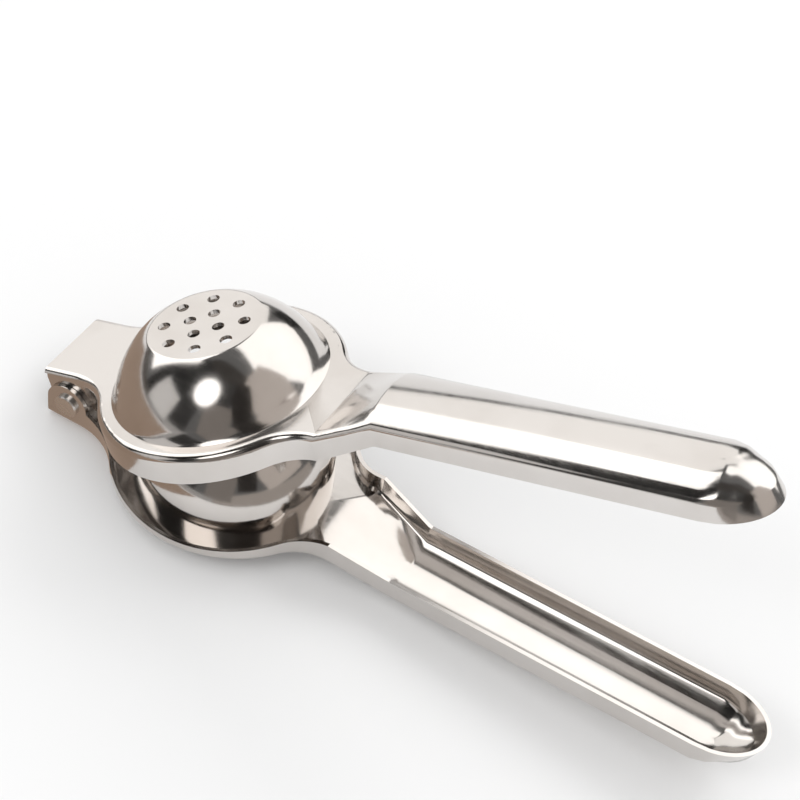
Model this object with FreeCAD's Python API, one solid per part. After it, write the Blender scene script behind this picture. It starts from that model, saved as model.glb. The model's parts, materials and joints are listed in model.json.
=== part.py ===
import FreeCAD, Part
import math
import os

# Hinged lemon squeezer: two deep-drawn sheet arms on one cross rivet.
# Each arm is drawn flat first. There X runs from the rivet towards the handle, Y across the arm,
# and Z out of the plate's outer face, so the skirt hangs below zero and the handle's crown stands above.

# Sheet
sheet = 1.1
bend_radius = 2.2
inner_bend_share = 0.35

# Hinge
presser_pin_to_end = 6.5
strainer_pin_to_end = 6.0
pin_radius = 2.4
running_clearance = 0.05
ear_side_clearance = 0.15
presser_pin_height = 7.0
strainer_pin_height = 9.6
presser_ear_radius = 6.4
strainer_ear_radius = 5.0
rivet_head_radius = 4.0
rivet_head_height = 2.1
rivet_head_rim = 0.5
rivet_tail_radius = 3.5
rivet_tail_height = 1.1
rivet_tail_chamfer = 0.35

# Head of each arm, seen from above
strainer_hinge_half_width = 12.6
bowl_from_pin = 45.2
head_radius = 33.5
presser_hinge_corner = 20.0
strainer_hinge_corner = 17.0
neck_corner = 14.0
neck_half_width = 14.5
crease_from_pin = 83.5

# Handle
ramp_length = 16.5
handle_half_width = 11.4
crown_height = 8.4
crown_radius = 18.0
shoulder_radius = 2.6
presser_handle_end = 203.5
strainer_handle_end = 202.0

# Skirt depths below the plate's outer face
strainer_skirt_depth = 7.6
strainer_handle_lip = 1.2
presser_ear_skirt_depth = 6.2
presser_bowl_skirt_depth = 3.4
presser_neck_skirt_depth = 7.2
presser_handle_lip = 1.7
lip_corner = 5.0

# Perforated cup of the strainer arm
cup_radius = 28.5
cup_height = 16.8
cup_flat_radius = 15.0
cup_edge_radius = 2.4
cup_foot_flare = 1.0
hole_radius = 1.65
outer_ring_radius = 10.8
outer_ring_count = 8
inner_ring_radius = 4.55
inner_ring_count = 4

# Smooth bowl of the presser arm
bowl_radius = 26.0
bowl_depth = 27.0
bowl_crown_radius = 28.0
bowl_knuckle = 20.0
bowl_rim_radius = 1.8
bowl_rim_facets = 4

# Pose shown: how far the arms stand open
open_angle = 19.5

# Derived sizes
presser_hinge_half_width = strainer_hinge_half_width + ear_side_clearance + sheet
presser_nose = presser_handle_end - handle_half_width
strainer_nose = strainer_handle_end - handle_half_width
cup_ball_height = (cup_flat_radius ** 2 + cup_height ** 2 - cup_radius ** 2) / (2 * cup_height)
cup_ball_radius = math.hypot(cup_radius, cup_ball_height)
crown_from_pin = crease_from_pin + ramp_length
blank_depth = presser_pin_height + strainer_pin_height + presser_ear_radius
reach = presser_handle_end + strainer_handle_end + blank_depth
flat = FreeCAD.Vector(0, 0, 1)
across = FreeCAD.Vector(0, 1, 0)
match = 1e-6


def vec(x, y, z):
    return FreeCAD.Vector(x, y, z)


def line(a, b):
    return Part.makeLine(a, b)


def arc(a, middle, b):
    return Part.Arc(a, middle, b).toShape()


def along(a, b, share):
    return a + (b - a) * share


def arc_about(centre, a, b):
    """Shorter arc from a to b about a centre."""
    middle = (a + b) * 0.5 - centre
    middle.normalize()
    return arc(a, centre + middle * (a - centre).Length, b)


def arch_points(half_width, apex, crown, corner):
    """Right half of an arch: wall end, corner centre, crown start and apex, as pairs (across, up)."""
    centre_up = apex - crown
    corner_across = half_width - corner
    corner_up = centre_up + math.sqrt((crown - corner) ** 2 - corner_across ** 2)
    stretch = crown / (crown - corner)
    crown_across = corner_across * stretch
    crown_up = centre_up + (corner_up - centre_up) * stretch
    return (half_width, corner_up), (corner_across, corner_up), (crown_across, crown_up), (0.0, apex)


def plate_section(x, inset):
    """Flat-topped section where the ramp leaves the plate, inset by a wall."""
    half = neck_half_width - inset
    corner = bend_radius - inset
    bottom = -blank_depth
    top = -inset
    wall = [vec(x, side * half, top - corner) for side in (1, -1)]
    start = [vec(x, side * (half - corner), top) for side in (1, -1)]
    centre = [vec(x, side * (half - corner), top - corner) for side in (1, -1)]
    foot = [vec(x, side * half, bottom) for side in (1, -1)]
    edges = [
        line(foot[0], wall[0]),
        arc_about(centre[0], wall[0], start[0]),
        line(start[0], start[1]),
        arc_about(centre[1], start[1], wall[1]),
        line(wall[1], foot[1]),
        line(foot[1], foot[0]),
    ]
    return Part.Wire(edges)


def handle_section(x, inset):
    """Crowned section of the handle, inset by a wall."""
    wall_end, corner, crown_start, apex = arch_points(
        handle_half_width - inset, crown_height - inset, crown_radius - inset, shoulder_radius - inset)
    bottom = -blank_depth
    wall = [vec(x, side * wall_end[0], wall_end[1]) for side in (1, -1)]
    centre = [vec(x, side * corner[0], corner[1]) for side in (1, -1)]
    start = [vec(x, side * crown_start[0], crown_start[1]) for side in (1, -1)]
    foot = [vec(x, side * wall_end[0], bottom) for side in (1, -1)]
    edges = [
        line(foot[0], wall[0]),
        arc_about(centre[0], wall[0], start[0]),
        arc(start[0], vec(x, 0, apex[1]), start[1]),
        arc_about(centre[1], start[1], wall[1]),
        line(wall[1], foot[1]),
        line(foot[1], foot[0]),
    ]
    return Part.Wire(edges)


def rounded_nose(nose_x, inset):
    """Round end of the handle: the half section turned about the upright axis at the nose."""
    wall_end, corner, crown_start, apex = arch_points(
        handle_half_width - inset, crown_height - inset, crown_radius - inset, shoulder_radius - inset)
    bottom = -blank_depth
    centre_up = crown_height - crown_radius
    wall = vec(nose_x, -wall_end[0], wall_end[1])
    start = vec(nose_x, -crown_start[0], crown_start[1])
    top = vec(nose_x, 0, apex[1])
    edges = [
        line(vec(nose_x, 0, bottom), vec(nose_x, -wall_end[0], bottom)),
        line(vec(nose_x, -wall_end[0], bottom), wall),
        arc_about(vec(nose_x, -corner[0], corner[1]), wall, start),
        arc_about(vec(nose_x, 0, centre_up), start, top),
        line(top, vec(nose_x, 0, bottom)),
    ]
    face = Part.Face(Part.Wire(edges))
    return face.revolve(vec(nose_x, 0, 0), flat, 180)


def head_outline(hinge_half, hinge_corner, hinge_end, inset):
    """Head seen from above: straight hinge end, hollow corners, round head and straight neck."""
    hinge = hinge_half - inset
    neck = neck_half_width - inset
    head = head_radius - inset
    corner_a = hinge_corner + inset
    corner_b = neck_corner + inset
    run_a = math.sqrt((head + corner_a) ** 2 - (hinge + corner_a) ** 2)
    run_b = math.sqrt((head + corner_b) ** 2 - (neck + corner_b) ** 2)
    middle = vec(bowl_from_pin, 0, 0)
    edges = []
    corners = []
    for side in (1, -1):
        centre_a = vec(bowl_from_pin - run_a, side * (hinge + corner_a), 0)
        centre_b = vec(bowl_from_pin + run_b, side * (neck + corner_b), 0)
        end = vec(hinge_end, side * hinge, 0)
        hinge_start = vec(centre_a.x, side * hinge, 0)
        head_start = along(middle, centre_a, head / (head + corner_a))
        head_end = along(middle, centre_b, head / (head + corner_b))
        neck_start = vec(centre_b.x, side * neck, 0)
        neck_end = vec(crease_from_pin, side * neck, 0)
        edges.append(line(end, hinge_start))
        edges.append(arc_about(centre_a, hinge_start, head_start))
        edges.append(arc(head_start, vec(bowl_from_pin, side * head, 0), head_end))
        edges.append(arc_about(centre_b, head_end, neck_start))
        edges.append(line(neck_start, neck_end))
        corners.append((end, neck_end))
    edges.append(line(corners[0][0], corners[1][0]))
    edges.append(line(corners[0][1], corners[1][1]))
    return Part.Wire(Part.__sortEdges__(edges))


def head_block(hinge_half, hinge_corner, hinge_end, inset):
    """Head blank with its upper edge bent round, except across the hinge end and the crease."""
    outline = head_outline(hinge_half, hinge_corner, hinge_end, inset)
    block = Part.Face(outline).extrude(vec(0, 0, -blank_depth))
    rim = [edge for edge in block.Edges if is_bend_edge(edge, hinge_end)]
    if inset:
        bent = block.makeChamfer(bend_radius * inner_bend_share, rim)
    else:
        bent = block.makeFillet(bend_radius, rim)
    bent.translate(vec(0, 0, -inset))
    return bent


def is_bend_edge(edge, hinge_end):
    box = edge.BoundBox
    on_top = abs(box.ZMin) < match and abs(box.ZMax) < match
    at_end = abs(box.XMax - hinge_end) < match
    at_crease = abs(box.XMin - crease_from_pin) < match
    return on_top and not at_end and not at_crease


def arm_block(hinge_half, hinge_corner, hinge_end, nose_x, inset):
    """Solid blank of a whole arm, inset by a wall."""
    head = head_block(hinge_half, hinge_corner, hinge_end, inset)
    ramp = Part.makeLoft([plate_section(crease_from_pin, inset), handle_section(crown_from_pin, inset)], True, True)
    run = vec(nose_x - crown_from_pin, 0, 0)
    handle = Part.Face(handle_section(crown_from_pin, inset)).extrude(run)
    return head.fuse([ramp, handle, rounded_nose(nose_x, inset)]).removeSplitter()


def arm_shell(hinge_half, hinge_corner, pin_to_end, nose_x):
    """Open sheet shell of a whole arm, its hinge end left open and its skirt still too deep."""
    outer = arm_block(hinge_half, hinge_corner, -pin_to_end, nose_x, 0)
    inner = arm_block(hinge_half, hinge_corner, -pin_to_end - sheet, nose_x, sheet)
    return outer.cut(inner)


def side_plate(edges):
    """Thick slab whose outline is a side view, reaching across the whole arm."""
    wire = Part.Wire(edges)
    slab = Part.Face(wire).extrude(vec(0, 2 * reach, 0))
    slab.translate(vec(0, -reach, 0))
    return slab


def lip_wire(points):
    """Straight runs through the points with each inner corner rounded."""
    edges = []
    last = points[0]
    for index in range(1, len(points) - 1):
        corner = points[index]
        before = (last - corner)
        after = (points[index + 1] - corner)
        before.normalize()
        after.normalize()
        half_turn = (math.pi - before.getAngle(after)) / 2
        cut = lip_corner * math.tan(half_turn)
        start = corner + before * cut
        end = corner + after * cut
        inward = before + after
        inward.normalize()
        centre = corner + inward * (lip_corner / math.cos(half_turn))
        edges.append(line(last, start))
        edges.append(arc_about(centre, start, end))
        last = end
    edges.append(line(last, points[-1]))
    return edges


def strainer_side():
    """Side view kept of the strainer arm: inner ear, deep even skirt and handle lip."""
    pin_z = -strainer_pin_height
    radius = strainer_ear_radius
    top = crown_height + reach
    ear_left = vec(-radius, 0, pin_z)
    ear_right = vec(radius, 0, pin_z)
    plate_end = vec(-radius, 0, -sheet)
    lip_end = vec(reach, 0, -strainer_handle_lip)
    edges = [
        line(vec(-reach, 0, top), vec(-reach, 0, -sheet)),
        line(vec(-reach, 0, -sheet), plate_end),
        line(plate_end, ear_left),
        arc(ear_left, vec(0, 0, pin_z - radius), ear_right),
    ]
    edges += lip_wire([
        ear_right,
        vec(crease_from_pin, 0, -strainer_skirt_depth),
        vec(crown_from_pin, 0, -strainer_handle_lip),
        lip_end,
    ])
    edges.append(line(lip_end, vec(reach, 0, top)))
    edges.append(line(vec(reach, 0, top), vec(-reach, 0, top)))
    return side_plate(edges)


def presser_side():
    """Side view kept of the presser arm: outer ear, skirt that arches over the bowl, handle lip."""
    pin_z = -presser_pin_height
    radius = presser_ear_radius
    end = -presser_pin_to_end
    top = crown_height + reach
    ear_left = vec(-radius, 0, pin_z)
    ear_right = vec(radius, 0, pin_z)
    arch_start = vec(radius + lip_corner, 0, -presser_ear_skirt_depth)
    arch_top = vec(bowl_from_pin, 0, -presser_bowl_skirt_depth)
    arch_end = vec(crease_from_pin, 0, -presser_neck_skirt_depth)
    lip_start = vec(crown_from_pin, 0, -presser_handle_lip)
    lip_end = vec(reach, 0, -presser_handle_lip)
    edges = [
        line(vec(end, 0, top), vec(end, 0, -bend_radius)),
        line(vec(end, 0, -bend_radius), ear_left),
        arc(ear_left, vec(0, 0, pin_z - radius), ear_right),
        line(ear_right, arch_start),
        arc(arch_start, arch_top, arch_end),
    ]
    edges += lip_wire([arch_end, lip_start, lip_end])
    edges.append(line(lip_end, vec(reach, 0, top)))
    edges.append(line(vec(reach, 0, top), vec(end, 0, top)))
    return side_plate(edges)


def pin_bore(pin_z):
    """Hole for the rivet right across an arm."""
    return Part.makeCylinder(pin_radius + running_clearance, 2 * reach, vec(0, -reach, pin_z), across)


def turned(points_and_arcs):
    """Solid of revolution about the bowl's axis from a closed half profile."""
    face = Part.Face(Part.Wire(points_and_arcs))
    return face.revolve(vec(bowl_from_pin, 0, 0), flat, 360)


def at(radius, height):
    return vec(bowl_from_pin + radius, 0, height)


def cup_form(inset):
    """Closed form of the strainer's cup, inset by a wall: foot flare, round wall, edge and flat end."""
    ball = at(0, cup_ball_height)
    edge_height = cup_height - cup_edge_radius
    edge_across = math.sqrt((cup_ball_radius - cup_edge_radius) ** 2 - (edge_height - cup_ball_height) ** 2)
    edge = at(edge_across, edge_height)
    wall_height = cup_foot_flare - inset
    wall_across = math.sqrt((cup_ball_radius - inset) ** 2 - (wall_height - cup_ball_height) ** 2)
    wall_start = at(wall_across, wall_height)
    wall_end = ball + (edge - ball).normalize() * (cup_ball_radius - inset)
    foot_start = at(wall_across + cup_foot_flare, -inset)
    foot_below = at(wall_across + cup_foot_flare, -inset - sheet)
    flat_start = at(edge_across, cup_height - inset)
    edges = [
        line(at(0, -inset - sheet), foot_below),
        line(foot_below, foot_start),
        line(foot_start, wall_start),
        arc_about(ball, wall_start, wall_end),
        arc_about(edge, wall_end, flat_start),
        line(flat_start, at(0, cup_height - inset)),
        line(at(0, cup_height - inset), at(0, -inset - sheet)),
    ]
    return turned(edges)


def bowl_form(rim, grow):
    """Closed form of the presser's bowl below the plate, grown outward by a wall, with an optional rim flare."""
    wall = bowl_radius + grow
    wall_end, corner, crown_start, apex = arch_points(
        wall, bowl_depth + grow, bowl_crown_radius + grow, bowl_knuckle + grow)
    edges = [line(at(0, 0), at(wall + rim, 0))]
    if rim:
        turns = [math.pi / 2 * step / bowl_rim_facets for step in range(bowl_rim_facets + 1)]
        flare = [at(wall + rim - rim * math.sin(turn), rim * math.cos(turn) - rim) for turn in turns]
        edges += [line(a, b) for a, b in zip(flare, flare[1:])]
    edges += [
        line(at(wall, -rim), at(wall_end[0], -wall_end[1])),
        arc_about(at(corner[0], -corner[1]), at(wall_end[0], -wall_end[1]), at(crown_start[0], -crown_start[1])),
        arc_about(at(0, bowl_crown_radius - bowl_depth), at(crown_start[0], -crown_start[1]), at(0, -apex[1])),
        line(at(0, -apex[1]), at(0, 0)),
    ]
    return turned(edges)


def juice_holes():
    """Two rings of round holes through the cup's flat end."""
    holes = []
    rings = ((outer_ring_radius, outer_ring_count, 0.5), (inner_ring_radius, inner_ring_count, 0.0))
    for ring_radius, count, offset in rings:
        for index in range(count):
            turn = 2 * math.pi * (index + offset) / count
            centre = vec(bowl_from_pin + ring_radius * math.cos(turn), ring_radius * math.sin(turn), 0)
            holes.append(Part.makeCylinder(hole_radius, cup_height + sheet, centre, flat))
    return holes


def strainer_arm():
    """Arm with the perforated cup, still in its flat drawing place."""
    shell = arm_shell(strainer_hinge_half_width, strainer_hinge_corner, strainer_pin_to_end, strainer_nose)
    shell = shell.common(strainer_side())
    shell = shell.fuse(cup_form(0)).cut(cup_form(sheet))
    shell = shell.cut(juice_holes() + [pin_bore(-strainer_pin_height)])
    return shell.removeSplitter()


def presser_arm():
    """Arm with the smooth bowl, still in its flat drawing place."""
    shell = arm_shell(presser_hinge_half_width, presser_hinge_corner, presser_pin_to_end, presser_nose)
    shell = shell.common(presser_side())
    shell = shell.fuse(bowl_form(0, sheet))
    shell = shell.cut([bowl_form(bowl_rim_radius, 0), pin_bore(-presser_pin_height)])
    return shell.removeSplitter()


def hinge_rivet():
    """Cross rivet: domed head on the far side, flat peened tail on the near side."""
    ear = presser_hinge_half_width
    rim_y = ear + rivet_head_rim
    crown_y = ear + rivet_head_height
    cap = rivet_head_height - rivet_head_rim
    cap_radius = (rivet_head_radius ** 2 + cap ** 2) / (2 * cap)
    tail_y = -ear - rivet_tail_height
    edges = [
        line(vec(0, tail_y, 0), vec(rivet_tail_radius - rivet_tail_chamfer, tail_y, 0)),
        line(vec(rivet_tail_radius - rivet_tail_chamfer, tail_y, 0),
             vec(rivet_tail_radius, tail_y + rivet_tail_chamfer, 0)),
        line(vec(rivet_tail_radius, tail_y + rivet_tail_chamfer, 0), vec(rivet_tail_radius, -ear, 0)),
        line(vec(rivet_tail_radius, -ear, 0), vec(pin_radius, -ear, 0)),
        line(vec(pin_radius, -ear, 0), vec(pin_radius, ear, 0)),
        line(vec(pin_radius, ear, 0), vec(rivet_head_radius, ear, 0)),
        line(vec(rivet_head_radius, ear, 0), vec(rivet_head_radius, rim_y, 0)),
        arc_about(vec(0, crown_y - cap_radius, 0), vec(rivet_head_radius, rim_y, 0), vec(0, crown_y, 0)),
        line(vec(0, crown_y, 0), vec(0, tail_y, 0)),
    ]
    return Part.Face(Part.Wire(edges)).revolve(vec(0, 0, 0), across, 360)


# The arms take their places about the rivet, then the whole leans until it rests on its lower arm.
presser = presser_arm()
presser.rotate(vec(0, 0, 0), vec(1, 0, 0), 180)
presser.translate(vec(0, 0, -presser_pin_height))
strainer = strainer_arm()
strainer.translate(vec(0, 0, strainer_pin_height))
strainer.rotate(vec(0, 0, 0), across, -open_angle)
rivet = hinge_rivet()

rest_lean = -math.degrees(math.atan2(crown_height, crown_from_pin + presser_pin_to_end))
pieces = {"presser_arm": presser, "strainer_arm": strainer, "hinge_rivet": rivet}
for piece in pieces.values():
    piece.rotate(vec(0, 0, 0), across, rest_lean)
extent = Part.makeCompound(list(pieces.values())).optimalBoundingBox(False, False)
to_origin = vec(-extent.Center.x, 0, -extent.ZMin)

os.makedirs("parts", exist_ok=True)
for name, piece in pieces.items():
    piece.translate(to_origin)
    piece.exportStep("parts/" + name + ".step")
print("rivet axis", round(to_origin.x, 4), round(to_origin.z, 4), "lean", round(rest_lean, 4))
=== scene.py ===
import json
import logging
import math
from dataclasses import dataclass
from enum import Enum

import bmesh
import bpy
from mathutils import Matrix, Vector


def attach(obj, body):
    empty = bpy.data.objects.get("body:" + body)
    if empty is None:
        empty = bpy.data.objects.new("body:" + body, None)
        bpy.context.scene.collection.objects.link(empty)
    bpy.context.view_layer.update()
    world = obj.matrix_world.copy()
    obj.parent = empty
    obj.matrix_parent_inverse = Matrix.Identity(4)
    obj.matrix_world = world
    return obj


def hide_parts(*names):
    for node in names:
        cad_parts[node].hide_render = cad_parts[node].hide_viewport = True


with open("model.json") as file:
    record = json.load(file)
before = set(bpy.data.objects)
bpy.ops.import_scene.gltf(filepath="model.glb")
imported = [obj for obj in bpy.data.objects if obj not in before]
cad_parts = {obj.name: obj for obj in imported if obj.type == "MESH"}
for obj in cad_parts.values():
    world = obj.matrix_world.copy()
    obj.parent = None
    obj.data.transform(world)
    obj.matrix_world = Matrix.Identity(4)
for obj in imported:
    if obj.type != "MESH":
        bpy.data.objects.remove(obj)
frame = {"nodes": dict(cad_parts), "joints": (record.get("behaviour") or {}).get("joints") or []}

log = logging.getLogger("lemon_squeezer")

MILLIMETRE = 0.001
WELD = 0.002 * MILLIMETRE
TINY = 1e-6
LEAST_GLOW = 0.001
INWARD_COSINE = -0.05
FULL_EASE_SHARE = 0.6

Colour = tuple[float, float, float]
Span = tuple[float, float]


class Body(Enum):
    """The two bodies that turn about the rivet."""

    PRESSER = "presser"
    STRAINER = "strainer"


class Brush(Enum):
    """How the polishing marks run over a surface, as their fineness along X, Y and Z."""

    ALONG_ARM = (60.0, 1400.0, 1400.0)
    ROUND_RIVET = (900.0, 300.0, 900.0)


@dataclass(frozen=True)
class PolishedSteel:
    """Mirror-polished stainless steel with faint polishing marks.

    Attributes:
        name: Name of the material.
        tint: Colour of the metal, linear.
        deep_tint: Slightly darker, warmer colour of its cloudy patches.
        roughness: Roughness of a clean polished patch.
        haze: How much rougher the cloudy and rubbed patches are.
        mark_depth: Strength of the fine polishing marks.
        brush: How the marks run.
        cloud_scale: Fineness of the cloudy patches.
        cloud_edge: Cloud values between which the tint changes.
        haze_edge: Blended values between which the haze sets in.
        mark_share: Share of the marks in the haze; the clouds have the rest.
        mark_height: Height of the marks, in millimetres.
    """

    name: str
    tint: Colour = (0.69, 0.66, 0.635)
    deep_tint: Colour = (0.61, 0.575, 0.545)
    roughness: float = 0.10
    haze: float = 0.12
    mark_depth: float = 0.05
    brush: Brush = Brush.ALONG_ARM
    cloud_scale: float = 28.0
    cloud_edge: Span = (0.35, 0.6)
    haze_edge: Span = (0.4, 0.75)
    mark_share: float = 0.35
    mark_height: float = 0.02

    def build(self) -> bpy.types.Material:
        """Makes the procedural material.

        Returns:
            The material, with every pattern read from Object coordinates.
        """
        material = bpy.data.materials.new(self.name)
        material.use_nodes = True
        tree = material.node_tree
        tree.nodes.clear()
        out = tree.nodes.new("ShaderNodeOutputMaterial")
        shader = tree.nodes.new("ShaderNodeBsdfPrincipled")
        shader.inputs["Metallic"].default_value = 1.0
        tree.links.new(shader.outputs["BSDF"], out.inputs["Surface"])
        coordinates = tree.nodes.new("ShaderNodeTexCoord")

        clouds = tree.nodes.new("ShaderNodeTexNoise")
        clouds.inputs["Scale"].default_value = self.cloud_scale
        clouds.inputs["Detail"].default_value = 4.0
        clouds.inputs["Roughness"].default_value = 0.55
        tree.links.new(coordinates.outputs["Object"], clouds.inputs["Vector"])

        tone = tree.nodes.new("ShaderNodeMix")
        tone.data_type = "RGBA"
        tone.inputs["A"].default_value = (*self.deep_tint, 1.0)
        tone.inputs["B"].default_value = (*self.tint, 1.0)
        spread = tree.nodes.new("ShaderNodeMapRange")
        spread.inputs["From Min"].default_value = self.cloud_edge[0]
        spread.inputs["From Max"].default_value = self.cloud_edge[1]
        tree.links.new(clouds.outputs["Fac"], spread.inputs["Value"])
        tree.links.new(spread.outputs["Result"], tone.inputs["Factor"])
        tree.links.new(tone.outputs["Result"], shader.inputs["Base Color"])

        stretch = tree.nodes.new("ShaderNodeMapping")
        stretch.inputs["Scale"].default_value = self.brush.value
        marks = tree.nodes.new("ShaderNodeTexNoise")
        marks.inputs["Scale"].default_value = 1.0
        marks.inputs["Detail"].default_value = 3.0
        tree.links.new(coordinates.outputs["Object"], stretch.inputs["Vector"])
        tree.links.new(stretch.outputs["Vector"], marks.inputs["Vector"])

        scaled = tree.nodes.new("ShaderNodeMath")
        scaled.operation = "MULTIPLY"
        scaled.inputs[1].default_value = 1.0 - self.mark_share
        tree.links.new(clouds.outputs["Fac"], scaled.inputs[0])
        blend = tree.nodes.new("ShaderNodeMath")
        blend.operation = "MULTIPLY_ADD"
        blend.inputs[1].default_value = self.mark_share
        tree.links.new(marks.outputs["Fac"], blend.inputs[0])
        tree.links.new(scaled.outputs["Value"], blend.inputs[2])
        rough = tree.nodes.new("ShaderNodeMapRange")
        rough.inputs["From Min"].default_value = self.haze_edge[0]
        rough.inputs["From Max"].default_value = self.haze_edge[1]
        rough.inputs["To Min"].default_value = self.roughness
        rough.inputs["To Max"].default_value = self.roughness + self.haze
        tree.links.new(blend.outputs["Value"], rough.inputs["Value"])
        tree.links.new(rough.outputs["Result"], shader.inputs["Roughness"])

        bump = tree.nodes.new("ShaderNodeBump")
        bump.inputs["Strength"].default_value = self.mark_depth
        bump.inputs["Distance"].default_value = self.mark_height * MILLIMETRE
        tree.links.new(marks.outputs["Fac"], bump.inputs["Height"])
        tree.links.new(bump.outputs["Normal"], shader.inputs["Normal"])
        return material


@dataclass(frozen=True)
class StagePaint:
    """Plain matt paint of the floor, or the even glow of a studio panel.

    Attributes:
        name: Name of the material.
        colour: Colour of the paint or of the glow, linear.
        glow: Strength of the glow; a paint has none.
    """

    name: str
    colour: Colour
    glow: float = 0.0

    def build(self) -> bpy.types.Material:
        """Makes the paint, with a glow of its own where one is given."""
        material = bpy.data.materials.new(self.name)
        material.use_nodes = True
        shader = material.node_tree.nodes["Principled BSDF"]
        shader.inputs["Roughness"].default_value = 1.0
        shader.inputs["Specular IOR Level"].default_value = 0.0
        if self.glow:
            shader.inputs["Base Color"].default_value = (0.0, 0.0, 0.0, 1.0)
            shader.inputs["Emission Color"].default_value = (*self.colour, 1.0)
            shader.inputs["Emission Strength"].default_value = self.glow
        else:
            shader.inputs["Base Color"].default_value = (*self.colour, 1.0)
        return material


@dataclass(frozen=True)
class ArmSeat:
    """Where an arm sits.

    Its own axes run along the handle, across it, and out of its plate's outer face.

    Attributes:
        slope: Turn of the arm about the rivet, in degrees.
        pin_height: Height of the plate's outer face above the rivet's axis, in millimetres.
        turned_over: Whether the plate's outer face looks down.
    """

    slope: float
    pin_height: float
    turned_over: bool

    def matrix(self) -> Matrix:
        """Turns the arm's own millimetres into the model's metres."""
        pin = Vector(frame["joints"][0]["pos_m"])
        turn = Matrix.Rotation(math.radians(self.slope), 4, "Y")
        lift = Matrix.Translation((0.0, 0.0, self.pin_height))
        roll = Matrix.Rotation(math.pi if self.turned_over else 0.0, 4, "X")
        return Matrix.Translation(pin) @ Matrix.Scale(MILLIMETRE, 4) @ turn @ lift @ roll

    def outward(self) -> Vector:
        """Gives the direction that the plate's outer face looks in."""
        return (self.matrix().to_3x3() @ Vector((0.0, 0.0, 1.0))).normalized()


@dataclass(frozen=True)
class NoseForm:
    """Egg-shaped end of a handle, which the sheet follows down to its lip; in millimetres.

    Attributes:
        tip: Distance from the rivet to the tip.
        length: Length of the egg, from its widest section to the tip.
        half_width: Half the handle's width.
        crown: Height of the handle's crown above the plate's outer face.
        crown_radius: Radius of the crown across the handle.
        shoulder_radius: Radius between the crown and the wall.
        lip: Depth of the lip below the plate's outer face.
        sheet: Thickness of the sheet.
        cuts: How many times the end is cut across before it is shaped.
    """

    tip: float
    lip: float
    length: float = 15.5
    half_width: float = 11.4
    crown: float = 8.4
    crown_radius: float = 18.0
    shoulder_radius: float = 2.6
    sheet: float = 1.1
    cuts: int = 12

    @property
    def start(self) -> float:
        """Distance from the rivet to the egg's widest section."""
        return self.tip - self.length

    def is_inner(self, point: Vector) -> bool:
        """Tells whether a point of the solid's end lies on the sheet's inner wall.

        Args:
            point: The point in the arm's own axes.

        Returns:
            True where the point is nearer to the inner wall than to the outer one.
        """
        middle = self.sheet / 2
        across = math.hypot(max(point.x - self.tip + self.half_width, 0.0), point.y)
        low = self.crown - self.crown_radius
        corner = self.half_width - self.shoulder_radius
        rise = math.sqrt((self.crown_radius - self.shoulder_radius) ** 2 - corner ** 2)
        corner_up = low + rise
        if point.z < corner_up:
            return across < self.half_width - middle
        if math.hypot(across, point.z - low) > self.crown_radius - middle:
            return False
        if across < corner:
            return True
        return math.hypot(across - corner, point.z - corner_up) < self.shoulder_radius - middle

    def shape(self, point: Vector, wall: float) -> Vector:
        """Moves one point of the solid's end onto the egg.

        Args:
            point: The point in the arm's own axes.
            wall: How far its surface lies inside the outer one.

        Returns:
            The moved point.
        """
        if point.x <= self.start:
            return point
        share = min((point.x - self.start) / self.length, 1.0)
        past = max(point.x - self.tip + self.half_width, 0.0)
        built = math.sqrt(max(self.half_width ** 2 - past ** 2, TINY))
        egg = self.half_width * math.sqrt(max(1.0 - share ** 2, TINY))
        narrow = egg / built
        if past:
            narrow = max(narrow, math.sqrt(self.half_width / self.length))
        moved = Vector((point.x, point.y * narrow, point.z))
        high = self.crown + self.lip - wall
        rise = min(max((moved.z + self.lip) / high, 0.0), 1.0)
        along = (moved.x - self.start) / (self.length - wall)
        reach = math.hypot(along, moved.y / (self.half_width - wall))
        limit = math.sqrt(1.0 - rise ** 2)
        if reach > limit:
            ease = min(share / FULL_EASE_SHARE, 1.0)
            pull = 1.0 + (limit / reach - 1.0) * ease * ease * (3.0 - 2.0 * ease)
            moved.x = self.start + (moved.x - self.start) * pull
            moved.y *= pull
        return moved


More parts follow.
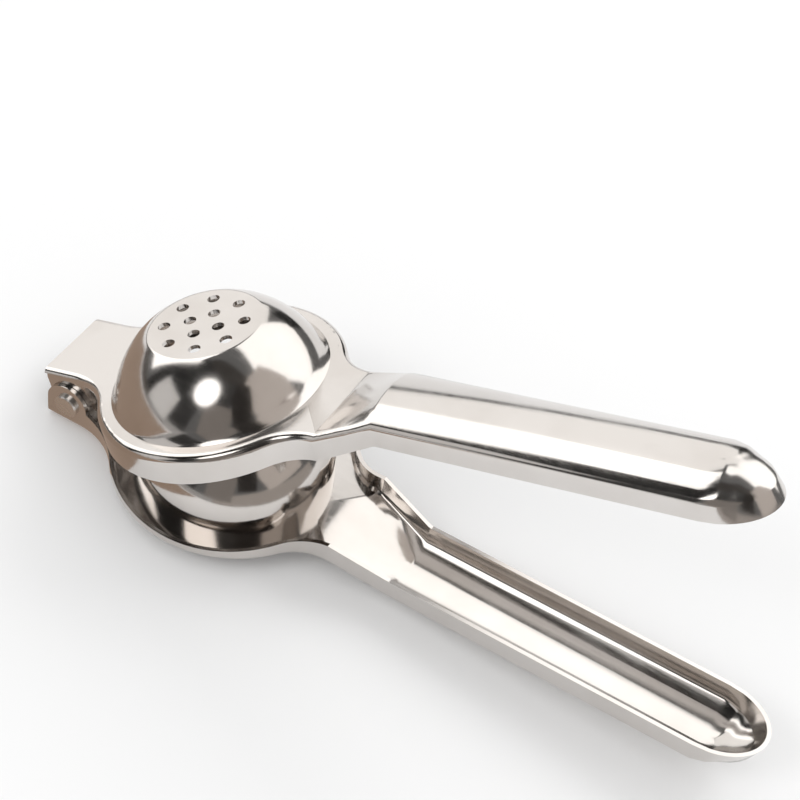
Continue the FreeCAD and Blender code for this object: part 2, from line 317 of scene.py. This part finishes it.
@dataclass
class SteelPiece:
    """One piece of the squeezer, shown as a smooth-shaded copy of its solid.

    Attributes:
        node: Name of the solid.
        body: Body that it moves with.
        slot: The record's name for its finish; not used.
        finish: Finish of its polished outer side.
        inside: Finish of the side that faces the other arm, or None where both are alike.
        seat: Where the arm sits, or None for the rivet.
        nose: Form of the handle's end, or None.
        crease_angle: Angle between faces, in degrees, above which an edge stays crisp.
    """

    node: str
    body: Body
    slot: str
    finish: PolishedSteel
    # inside: Finish of the side that faces the other arm, rougher and with a darker tint as
    # painted shade between the arms, or None where both are alike.
    inside: PolishedSteel | None = None
    seat: ArmSeat | None = None
    nose: NoseForm | None = None
    crease_angle: float = 28.0

    def merged(self) -> bmesh.types.BMesh:
        """Joins the solid's loose triangles into one closed mesh.

        Returns:
            The joined mesh, smooth but for its crisp edges.
        """
        skin = bmesh.new()
        skin.from_mesh(frame["nodes"][self.node].data)
        bmesh.ops.remove_doubles(skin, verts=skin.verts[:], dist=WELD)
        bmesh.ops.dissolve_degenerate(skin, dist=WELD, edges=skin.edges[:])
        if self.nose and self.seat:
            self.form_nose(skin)
        if self.inside and self.seat:
            # faces turned away from the outer face get the inner finish, whose darker tint is
            # painted shade between the arms
            outward = self.seat.outward()
            for face in skin.faces:
                face.material_index = int(face.normal.dot(outward) < INWARD_COSINE)
        for face in skin.faces:
            face.smooth = True
        limit = math.radians(self.crease_angle)
        for edge in skin.edges:
            if len(edge.link_faces) == 2:
                edge.smooth = edge.calc_face_angle() < limit
        return skin

    def form_nose(self, skin: bmesh.types.BMesh) -> None:
        """Shapes the handle's end, outer and inner walls alike.

        Args:
            skin: The joined mesh, changed in place.
        """
        nose = self.nose
        place = self.seat.matrix()
        back = place.inverted()
        along = place.to_3x3() @ Vector((1.0, 0.0, 0.0))
        for step in range(nose.cuts):
            cut = place @ Vector((nose.start + nose.length * step / nose.cuts, 0.0, 0.0))
            faces = [f for f in skin.faces if any((back @ v.co).x > nose.start for v in f.verts)]
            rim = {part for f in faces for part in (*f.verts, *f.edges)}
            bmesh.ops.bisect_plane(
                skin, geom=[*rim, *faces], dist=WELD, plane_co=cut, plane_no=along
            )
        bmesh.ops.triangulate(skin, faces=[f for f in skin.faces if len(f.verts) > 4])
        for vert in skin.verts:
            point = back @ vert.co
            if point.x > nose.start:
                wall = nose.sheet if nose.is_inner(point) else 0.0
                vert.co = place @ nose.shape(point, wall)
        skin.normal_update()

    def build(self) -> bpy.types.Object:
        """Makes the shown piece, dresses it and hangs it on its body.

        Returns:
            The new object, which stands for the solid.
        """
        skin = self.merged()
        mesh = bpy.data.meshes.new(self.node + "_skin")
        skin.to_mesh(mesh)
        skin.free()
        piece = bpy.data.objects.new(self.node + "_skin", mesh)
        bpy.context.collection.objects.link(piece)
        mesh.materials.clear()
        mesh.materials.append(self.finish.build())
        if self.inside:
            mesh.materials.append(self.inside.build())
        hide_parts(self.node)
        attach(piece, self.body.value)
        log.info("%s: %d faces on body %s", piece.name, len(mesh.polygons), self.body.value)
        return piece


@dataclass
class Lamp:
    """A rectangular softbox, aimed at a point.

    Attributes:
        name: Name of the lamp.
        place: Where it hangs, in metres.
        aim: Point that it faces.
        size: Width and height, in metres.
        watts: Power.
    """

    name: str
    place: tuple[float, float, float]
    aim: tuple[float, float, float]
    size: Span
    watts: float

    def build(self) -> bpy.types.Object:
        """Makes the lamp and turns it to its aim."""
        data = bpy.data.lights.new(self.name, "AREA")
        data.shape = "RECTANGLE"
        data.size, data.size_y = self.size
        data.energy = self.watts
        lamp = bpy.data.objects.new(self.name, data)
        bpy.context.collection.objects.link(lamp)
        lamp.location = self.place
        away = Vector(self.place) - Vector(self.aim)
        lamp.rotation_euler = away.to_track_quat("Z", "Y").to_euler()
        lamp.visible_glossy = False
        return lamp


def mirrored_only(name: str, sheet: bmesh.types.BMesh, paint: StagePaint) -> bpy.types.Object:
    """Makes a glowing part of the stage that no camera, matt surface or shadow sees.

    Args:
        name: Name of the part.
        sheet: Its mesh, which is used up.
        paint: Its glow.

    Returns:
        The staged part.
    """
    mesh = bpy.data.meshes.new(name)
    sheet.to_mesh(mesh)
    sheet.free()
    part = bpy.data.objects.new(name, mesh)
    bpy.context.collection.objects.link(part)
    mesh.materials.append(paint.build())
    part.visible_camera = False
    part.visible_diffuse = False
    part.visible_shadow = False
    return part


@dataclass
class Panel:
    """A flat studio panel round the object, seen only in the polished metal.

    Attributes:
        name: Name of the panel.
        azimuth: Its least and greatest direction from +X towards +Y, in degrees.
        elevation: Its least and greatest height above the horizon, in degrees.
        tone: Brightness that the metal mirrors.
        tint: Colour of that light, linear.
        distance: How far it stands from the object, in metres.
        is_round: Whether it is an ellipse instead of a rectangle.
    """

    name: str
    azimuth: Span
    elevation: Span
    tone: float
    tint: Colour = (1.0, 0.985, 0.965)
    distance: float = 1.5
    is_round: bool = False

    def build(self) -> bpy.types.Object:
        """Makes the panel, upright to the line from the object to it.

        Returns:
            The panel as part of the stage.
        """
        turn = math.radians(sum(self.azimuth) / 2)
        rise = math.radians(sum(self.elevation) / 2)
        half_turn = math.radians(self.azimuth[1] - self.azimuth[0]) / 2
        half_rise = math.radians(self.elevation[1] - self.elevation[0]) / 2
        wide = 2 * self.distance * math.tan(half_turn) * math.cos(rise)
        high = 2 * self.distance * math.tan(half_rise)
        flat = math.cos(rise)
        outward = Vector((math.cos(turn) * flat, math.sin(turn) * flat, math.sin(rise)))
        sheet = bmesh.new()
        if self.is_round:
            bmesh.ops.create_circle(sheet, cap_ends=True, segments=48, radius=0.5)
        else:
            bmesh.ops.create_grid(sheet, x_segments=1, y_segments=1, size=0.5)
        bmesh.ops.scale(sheet, vec=(wide, high, 1.0), verts=sheet.verts[:])
        facing = outward.to_track_quat("Z", "Y").to_matrix().to_4x4()
        place = Matrix.Translation(outward * self.distance) @ facing
        bmesh.ops.transform(sheet, matrix=place, verts=sheet.verts[:])
        paint = StagePaint(self.name, self.tint, max(self.tone, LEAST_GLOW))
        return mirrored_only(self.name, sheet, paint)


WARM = (1.0, 0.91, 0.84)
HEAD = (0, 0, 0.05)

LAMPS = (
    Lamp("softbox_far", place=(0.35, 1.1, 1.0), aim=HEAD, size=(0.9, 0.7), watts=5.0),
    Lamp("softbox_near", place=(-0.5, -0.9, 1.1), aim=HEAD, size=(0.5, 0.4), watts=3.0),
)

PANELS = (
    Panel("panel_white_far", (34, 106), (12, 79), 1.65),
    Panel("panel_white_left", (104, 172), (2, 50), 1.2),
    Panel("panel_white_end", (162, 199), (10, 60), 1.9, distance=1.45),
    Panel("panel_roof", (-30, 150), (68, 88), 0.58, distance=1.7),
    Panel("panel_beige_right", (-31, 36), (20, 74), 0.58, WARM),
    Panel("panel_dark_right", (-60, -31), (22, 68), 0.03, WARM, 1.45),
    Panel("panel_grey_near", (-92, -60), (5, 46), 0.24, WARM),
    Panel("panel_dark_near_top", (-150, -32), (68, 86), 0.05, WARM, 1.6),
    Panel("panel_dark_near_high", (-84, -60), (46, 70), 0.05),
    Panel("panel_window", (-121, -85), (37, 65), 2.2, distance=1.4, is_round=True),
    Panel("panel_black_left", (-152, -119), (30, 68), 0.015),
    Panel("panel_grey_left", (-150, -122), (2, 29), 0.7),
    Panel("panel_dark_left", (-122, -101), (6, 37), 0.04),
    Panel("panel_black_strip", (-161, -149), (-6, 64), 0.02),
    Panel("panel_low_near", (-122, -80), (-16, 6), 0.4, distance=1.6),
    Panel("panel_low_left", (-200, -149), (-20, 4), 0.10, WARM, 1.35),
    Panel("panel_low_right", (-80, 34), (-16, 20), 0.40, WARM, 1.9),
    Panel("panel_dark_far_low", (92, 105), (-6, 14), 0.02, distance=1.3),
)


@dataclass
class PaintedShadeSheet:
    """A glowing brown sheet beside the hinge, seen only in the polished metal: painted shade,
    mirrored in the hinge ear.

    Attributes:
        name: Name of the mat.
        low: Its least X and Y, in metres.
        high: Its greatest X and Y, in metres.
        tone: Colour of the painted shade that the metal mirrors, linear.
        drop: How far it lies under the object.
    """

    name: str = "painted_shade_sheet"
    low: Span = (-0.50, -0.42)
    high: Span = (-0.078, 0.04)
    tone: Colour = (0.37, 0.28, 0.22)
    drop: float = 0.0001

    def build(self) -> bpy.types.Object:
        """Makes the glowing sheet of painted shade as part of the stage."""
        (left, near), (right, far) = self.low, self.high
        corners = [(left, near), (right, near), (right, far), (left, far)]
        sheet = bmesh.new()
        sheet.faces.new([sheet.verts.new((*corner, -self.drop)) for corner in corners])
        return mirrored_only(self.name, sheet, StagePaint(self.name, self.tone, 1.0))


@dataclass
class Studio:
    """Pale floor, plain room light, soft lamps and the panels that the polished steel mirrors."""

    floor_size: float = 1.3
    floor_drop: float = 0.0002
    floor_colour: Colour = (0.9, 0.9, 0.9)
    panels: tuple[Panel, ...] = PANELS
    lamps: tuple[Lamp, ...] = LAMPS

    def floor(self) -> bpy.types.Object:
        """Makes the pale floor, which keeps the object's shadow."""
        slab = bmesh.new()
        bmesh.ops.create_grid(slab, x_segments=1, y_segments=1, size=self.floor_size / 2)
        bmesh.ops.translate(slab, vec=(0, 0, -self.floor_drop), verts=slab.verts[:])
        mesh = bpy.data.meshes.new("floor")
        slab.to_mesh(mesh)
        slab.free()
        floor = bpy.data.objects.new("floor", mesh)
        bpy.context.collection.objects.link(floor)
        mesh.materials.append(StagePaint("floor_paint", self.floor_colour).build())
        return floor

    def world(self) -> None:
        """Gives the room its plain light: white behind the object, grey in the metal."""
        world = bpy.data.worlds.new("room")
        bpy.context.scene.world = world
        world.use_nodes = True
        tree = world.node_tree
        tree.nodes.clear()
        out = tree.nodes.new("ShaderNodeOutputWorld")
        path = tree.nodes.new("ShaderNodeLightPath")
        tones = {"metal": 0.14, "room": 0.9, "seen": 1.0}
        shades = {}
        for name, tone in tones.items():
            shades[name] = tree.nodes.new("ShaderNodeBackground")
            shades[name].inputs["Color"].default_value = (tone, tone, tone, 1.0)
        mirrored = tree.nodes.new("ShaderNodeMixShader")
        tree.links.new(path.outputs["Is Glossy Ray"], mirrored.inputs["Fac"])
        tree.links.new(shades["room"].outputs["Background"], mirrored.inputs[1])
        tree.links.new(shades["metal"].outputs["Background"], mirrored.inputs[2])
        seen = tree.nodes.new("ShaderNodeMixShader")
        tree.links.new(path.outputs["Is Camera Ray"], seen.inputs["Fac"])
        tree.links.new(mirrored.outputs["Shader"], seen.inputs[1])
        tree.links.new(shades["seen"].outputs["Background"], seen.inputs[2])
        tree.links.new(seen.outputs["Shader"], out.inputs["Surface"])

    def build(self) -> None:
        """Makes the whole studio."""
        self.floor()
        # glowing sheet of painted shade, mirrored in the hinge ear
        PaintedShadeSheet().build()
        self.world()
        for lamp in self.lamps:
            lamp.build()
        for panel in self.panels:
            panel.build()
        log.info("studio: %d lamps, %d panels", len(self.lamps), len(self.panels))


@dataclass
class ViewCamera:
    """Camera at the photograph's viewing angle.

    Attributes:
        place: Its place, in metres.
        right: Unit vector to the picture's right.
        up: Unit vector to the picture's top.
        lens: Focal length on a 36 mm wide sensor.
    """

    place: tuple[float, float, float] = (0.11254, -0.31949, 0.44955)
    right: tuple[float, float, float] = (0.842866, 0.514366, 0.158126)
    up: tuple[float, float, float] = (-0.483227, 0.594168, 0.643006)
    lens: float = 95.48

    def build(self) -> bpy.types.Object:
        """Makes the camera and gives it to the scene."""
        data = bpy.data.cameras.new("photo_camera")
        data.sensor_fit = "HORIZONTAL"
        data.sensor_width = 36.0
        data.lens = self.lens
        data.clip_start = 0.01
        camera = bpy.data.objects.new("photo_camera", data)
        bpy.context.collection.objects.link(camera)
        right = Vector(self.right)
        up = Vector(self.up)
        turn = Matrix((right, up, right.cross(up))).transposed()
        camera.matrix_world = Matrix.Translation(self.place) @ turn.to_4x4()
        bpy.context.scene.camera = camera
        return camera


def finishes() -> tuple[PolishedSteel, PolishedSteel, PolishedSteel]:
    """Gives the outer, the inner and the rivet's finish; the inner one is a real satin finish
    whose darker tint is painted shade between the arms.
    """
    polished = PolishedSteel("polished_steel")
    # inner side: real rougher satin finish; its darker tints are painted shade where the arms
    # face each other
    satin_and_shade = PolishedSteel(
        "satin_steel_and_painted_shade",
        tint=(0.58, 0.54, 0.505),
        deep_tint=(0.44, 0.40, 0.365),
        roughness=0.25,
        haze=0.14,
        mark_depth=0.12,
    )
    rivet = PolishedSteel(
        "rivet_steel",
        tint=(0.76, 0.74, 0.72),
        deep_tint=(0.66, 0.63, 0.60),
        roughness=0.24,
        brush=Brush.ROUND_RIVET,
    )
    return polished, satin_and_shade, rivet


def main() -> None:
    """Builds the dressed squeezer, its studio and its camera."""
    logging.basicConfig(level=logging.INFO, format="%(message)s")
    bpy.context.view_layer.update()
    bpy.context.scene.view_settings.view_transform = "Standard"
    polished, satin_and_shade, rivet = finishes()
    pieces = [
        SteelPiece(
            "presser_arm",
            Body.PRESSER,
            "arm_steel",
            polished,
            inside=satin_and_shade,
            seat=ArmSeat(slope=-4.5098, pin_height=-7.0, turned_over=True),
            nose=NoseForm(tip=203.5, lip=1.7),
        ),
        SteelPiece(
            "strainer_arm",
            Body.STRAINER,
            "arm_steel",
            polished,
            inside=satin_and_shade,
            seat=ArmSeat(slope=-24.0098, pin_height=9.6, turned_over=False),
            nose=NoseForm(tip=202.0, lip=1.2),
        ),
        SteelPiece("hinge_rivet", Body.PRESSER, "rivet_steel", rivet),
    ]
    for piece in pieces:
        piece.build()
    Studio().build()
    ViewCamera().build()


if __name__ == "__main__":
    main()
